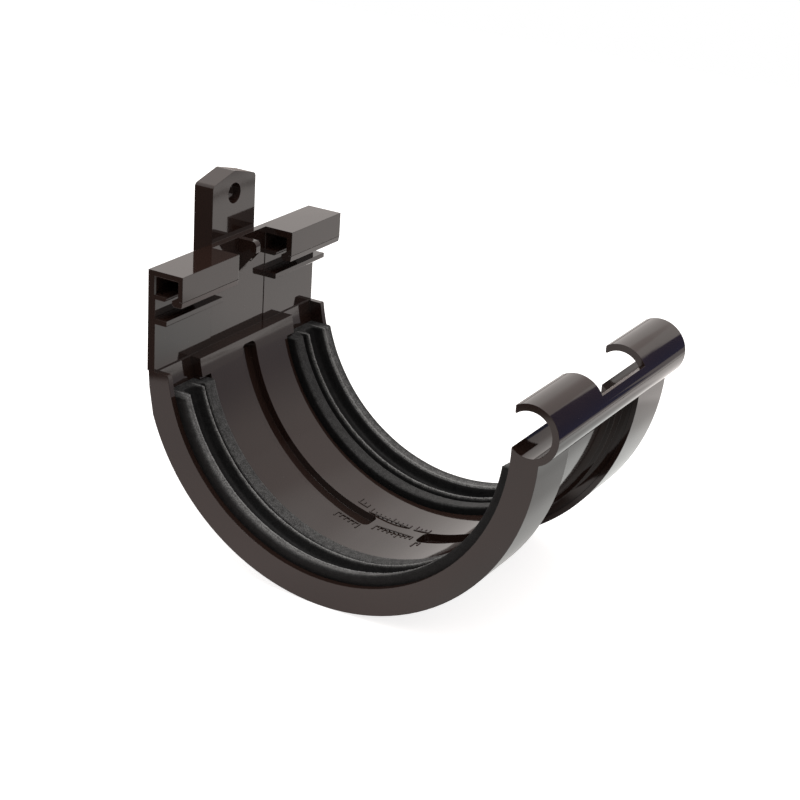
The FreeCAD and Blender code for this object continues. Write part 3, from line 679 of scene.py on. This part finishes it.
def build_world():
    """The room as a painted sphere, from the direction of each ray."""
    world = bpy.data.worlds.new("studio")
    bpy.context.scene.world = world
    world.use_nodes = True
    tree = world.node_tree
    tree.nodes.clear()
    ray = node(tree, "ShaderNodeTexCoord").outputs["Generated"]
    turned = node(tree, "ShaderNodeMapping", "wall to azimuth 0", vector_type="VECTOR",
                  inputs={"Vector": ray, "Rotation": (0.0, 0.0, math.radians(WALL_MIDDLE))})
    x, y, z = node(tree, "ShaderNodeSeparateXYZ", inputs={0: turned.outputs[0]}).outputs
    azimuth = maths(tree, "DEGREES", maths(tree, "ARCTAN2", y, x))
    by_wall = maths(tree, "ADD", azimuth, ramp(tree, z, *WALL_LEAN, "LINEAR"))
    by_blue = maths(tree, "ADD", azimuth, ramp(tree, z, *BLUE_LEAN, "LINEAR"))

    far_room = over(tree, ramp(tree, z, *FAR_ROOM_BRIGHTENS), FAR_ROOM_LOW, FAR_ROOM_HIGH)
    look = over(tree, between(tree, azimuth, FAR_ROOM_FROM, FAR_ROOM_TO), UNLIT, far_room)
    blue = times(tree, ramp(tree, by_blue, *BLUE_FROM), ramp(tree, by_wall, *BLUE_TO))
    look = over(tree, blue, look, BLUE_BLACK)
    wall = times(tree, ramp(tree, by_wall, *WALL_FROM), ramp(tree, azimuth, *WALL_TO))
    look = over(tree, wall, look, WALL_WHITE)
    horizon = between(tree, z, HORIZON_LOW, HORIZON_HIGH)
    dark_line = times(tree, horizon, ramp(tree, azimuth, *HORIZON_FROM, 0.0, HORIZON_DEPTH))
    look = over(tree, dark_line, look, UNLIT)
    ceiling = over(tree, ramp(tree, azimuth, *CEILING_BRIGHTENS), CEILING, LAMP_WHITE)
    look = over(tree, ramp(tree, z, *CEILING_FROM), look, ceiling)
    look = over(tree, ramp(tree, z, *LAMP_FROM), look, LAMP_WHITE)

    room = node(tree, "ShaderNodeBackground", "room light", inputs={"Color": look, "Strength": 1.0})
    white = node(tree, "ShaderNodeBackground", "seen by the camera",
                 inputs={"Color": (1, 1, 1, 1), "Strength": 1.0})
    path = node(tree, "ShaderNodeLightPath").outputs["Is Camera Ray"]
    mix = node(tree, "ShaderNodeMixShader", inputs={0: path, 1: room.outputs[0], 2: white.outputs[0]})
    node(tree, "ShaderNodeOutputWorld", inputs={"Surface": mix.outputs[0]})
    return world


world = build_world()
print("world nodes:", len(world.node_tree.nodes))

# %% [markdown]
# ## Studio: the table
#
# The union stands on white paper.  What the camera sees of it is white with
# a soft shadow.  What the gloss sees is painted in fields, some lighter and
# some darker.  The paper ends in a slanting edge on the near side and in a
# straight one to the front, apart from a lane that leads away from the
# camera, and two sheets of it meet in a dark joint.  Those edges give the
# moulding its crisp light and dark fields.

# %% Table
TABLE_Z = -0.0681
TABLE_BACK_LEFT, TABLE_FRONT_RIGHT = -0.75, 0.30
SHADOW_MIDDLE = (-0.02, 0.02, TABLE_Z)
SHADOW_REACH, SHADOW_DEPTH = 0.09, 0.66
# colour of the painted shadow under the two rings
UNDER_RINGS_SHADOW = (0.012, 0.010, 0.010, 1)
CONTACT_X, CONTACT_Y, CONTACT_DEPTH = (0.034, 0.020), (0.036, 0.026), 0.9
PAPER, PAPER_LIFT = (0.62, 0.62, 0.62, 1), 0.80
TABLE_NEAR = (1.03, 0.92, 0.89, 1)
TABLE_LIT, LIT_FROM = (1.17, 1.05, 1.01, 1), (-0.12, 0.02)
TABLE_NEUTRAL, NEUTRAL_FROM = (1.10, 1.11, 1.08, 1), (0.020, 0.040)
TABLE_BACK, BACK_FROM = (1.42, 1.34, 1.29, 1), (-0.09, -0.165)
TABLE_FAR, FAR_FROM = (0.36, 0.31, 0.29, 1), (-0.34, -0.42)
TABLE_FRONT, FRONT_FROM = (0.56, 0.52, 0.52, 1), (0.150, 0.175)
STRIP_FROM, STRIP_TO, STRIP_FADE = (0.066, 0.086), (0.122, 0.106), (-0.160, -0.145, 0.0, 0.30)
JOINT_FROM, JOINT_TO, JOINT_DEPTH = (0.140, 0.142), (0.147, 0.145), 0.8
SLANT, SLANT_END, FRONT_END = -0.45, (0.228, 0.222), (0.196, 0.184)
LANE_SLOPE, LANE_OFFSET = 0.85, 0.07
LANE_LEFT, LANE_RIGHT = (-0.060, -0.045), (0.045, 0.030)
LANE_FROM, LANE_END = (-0.270, -0.290), (0.75, 0.45)


def build_table():
    """A sheet of paper; only the camera sees it white."""
    low, high = TABLE_BACK_LEFT, TABLE_FRONT_RIGHT
    corners = [(low, low, TABLE_Z), (high, low, TABLE_Z), (high, high, TABLE_Z), (low, high, TABLE_Z)]
    mesh = bpy.data.meshes.new("studio_floor")
    mesh.from_pydata(corners, [], [(0, 1, 2, 3)])
    floor = bpy.data.objects.new("studio_floor", mesh)
    bpy.context.scene.collection.objects.link(floor)
    paper = bpy.data.materials.new("white_paper")
    paper.use_nodes = True
    tree = paper.node_tree
    tree.nodes.clear()
    place = node(tree, "ShaderNodeTexCoord").outputs["Object"]
    spot = node(tree, "ShaderNodeSeparateXYZ", inputs={0: place}).outputs
    x, y = spot["X"], spot["Y"]

    # How far the paper reaches: two edges, and the lane beyond the front one.
    slant = maths(tree, "MULTIPLY_ADD", y, SLANT, x)
    inside = times(tree, ramp(tree, slant, *SLANT_END), ramp(tree, y, *FRONT_END))
    across = maths(tree, "ADD", maths(tree, "MULTIPLY_ADD", x, LANE_SLOPE, y), LANE_OFFSET)
    lane = times(tree, between(tree, across, LANE_LEFT, LANE_RIGHT), ramp(tree, x, *LANE_FROM))
    inside = maths(tree, "MAXIMUM", inside, times(tree, lane, ramp(tree, y, *LANE_END)))

    # Its light and dark fields, each over the ones before.
    look = over(tree, ramp(tree, y, *LIT_FROM), TABLE_NEAR, TABLE_LIT)
    look = over(tree, ramp(tree, y, *NEUTRAL_FROM), look, TABLE_NEUTRAL)
    look = over(tree, ramp(tree, x, *BACK_FROM), look, TABLE_BACK)
    look = over(tree, ramp(tree, x, *FAR_FROM), look, TABLE_FAR)
    strip = times(tree, between(tree, y, STRIP_FROM, STRIP_TO), ramp(tree, x, *STRIP_FADE))
    look = over(tree, strip, look, UNLIT)
    look = over(tree, ramp(tree, y, *FRONT_FROM), look, TABLE_FRONT)
    look = over(tree, times(tree, between(tree, y, JOINT_FROM, JOINT_TO), JOINT_DEPTH), look, UNLIT)

    # The union's own painted shadow, and the painted shadow under its two rings.
    middle = node(tree, "ShaderNodeVectorMath", operation="DISTANCE",
                  inputs={0: place, 1: SHADOW_MIDDLE})
    shade = ramp(tree, middle.outputs["Value"], 0.0, SHADOW_REACH, SHADOW_DEPTH, 0.0, "LINEAR")
    look = over(tree, shade, look, UNLIT)
    under_rings_shadow_mask = times(tree, ramp(tree, maths(tree, "ABSOLUTE", x), *CONTACT_X),
                  ramp(tree, maths(tree, "ABSOLUTE", y), *CONTACT_Y))
    look = over(tree, times(tree, under_rings_shadow_mask, CONTACT_DEPTH), look, UNDER_RINGS_SHADOW)
    glow = node(tree, "ShaderNodeEmission", "seen by the gloss", inputs={"Color": look, "Strength": 1.0})
    clear = node(tree, "ShaderNodeBsdfTransparent")
    table = node(tree, "ShaderNodeMixShader",
                 inputs={0: inside, 1: clear.outputs[0], 2: glow.outputs[0]})

    flat = node(tree, "ShaderNodeBsdfDiffuse", inputs={"Color": PAPER})
    lift = node(tree, "ShaderNodeEmission", "paper white", inputs={"Strength": PAPER_LIFT})
    seen = node(tree, "ShaderNodeAddShader", inputs={0: flat.outputs[0], 1: lift.outputs[0]})
    path = node(tree, "ShaderNodeLightPath").outputs["Is Camera Ray"]
    mix = node(tree, "ShaderNodeMixShader", inputs={0: path, 1: table.outputs[0], 2: seen.outputs[0]})
    node(tree, "ShaderNodeOutputMaterial", inputs={"Surface": mix.outputs[0]})
    mesh.materials.append(paper)
    return floor


floor = build_table()
print("table at", TABLE_Z, "m")

# %% [markdown]
# ## Studio: one soft lamp
#
# Most light comes from the room itself.  One broad lamp above adds the soft
# shadow on the paper.  A point lamp would draw hard shadows that the
# photograph doesn't have.


# %% Lamp
def area_lamp(name, where, size, power):
    """Square area lamp that looks at the origin."""
    data = bpy.data.lights.new(name, "AREA")
    data.shape = "RECTANGLE"
    data.size = size
    data.size_y = size
    data.energy = power
    lamp = bpy.data.objects.new(name, data)
    bpy.context.scene.collection.objects.link(lamp)
    aim = (-Vector(where)).to_track_quat("-Z", "Y")
    lamp.matrix_world = Matrix.Translation(where) @ aim.to_matrix().to_4x4()
    return lamp


soft_top = area_lamp("soft_top", where=(0.15, 0.25, 1.2), size=0.5, power=3.0)
print("lamp:", soft_top.name, soft_top.data.energy, "W")

# %% [markdown]
# ## Camera
#
# The camera was found by fitting the edges that the photograph shows to the
# same edges of the model: two angles, a small roll, the aim, the distance
# and the focal length in pixels of a picture 800 wide.

# %% Camera
YAW, PITCH_DOWN, ROLL = -2.6305, 0.3926, 0.0663
AIM_RIGHT, AIM_UP, AWAY = -2.289, -13.3776, 588.685
FOCAL_PX, PICTURE_PX, SENSOR = 1903.04, 800.0, 36.0


def build_camera():
    """Camera at -AWAY along its line of sight, moved by the aim, rolled by ROLL."""
    level_part = math.cos(PITCH_DOWN)
    sight = Vector((math.cos(YAW) * level_part, math.sin(YAW) * level_part, -math.sin(PITCH_DOWN)))
    level = sight.cross(Vector((0, 0, 1))).normalized()
    upright = level.cross(sight)
    right = math.cos(ROLL) * level + math.sin(ROLL) * upright
    up = -math.sin(ROLL) * level + math.cos(ROLL) * upright
    spot = (-sight * AWAY + right * AIM_RIGHT + up * AIM_UP) * MM
    data = bpy.data.cameras.new("photo_camera")
    data.sensor_width = SENSOR
    data.lens = FOCAL_PX / PICTURE_PX * SENSOR
    data.clip_start = 0.01
    cam = bpy.data.objects.new("photo_camera", data)
    bpy.context.scene.collection.objects.link(cam)
    cam.matrix_world = Matrix.Translation(spot) @ Matrix((right, up, -sight)).transposed().to_4x4()
    bpy.context.scene.camera = cam
    return cam


camera = build_camera()
camera_place = [round(v, 4) for v in camera.matrix_world.translation]
print("camera at", camera_place, "lens", round(camera.data.lens, 2))

# %% [markdown]
# ## Picture
#
# The Standard view shows colours as they are written.

# %% Picture settings
bpy.context.scene.view_settings.view_transform = "Standard"
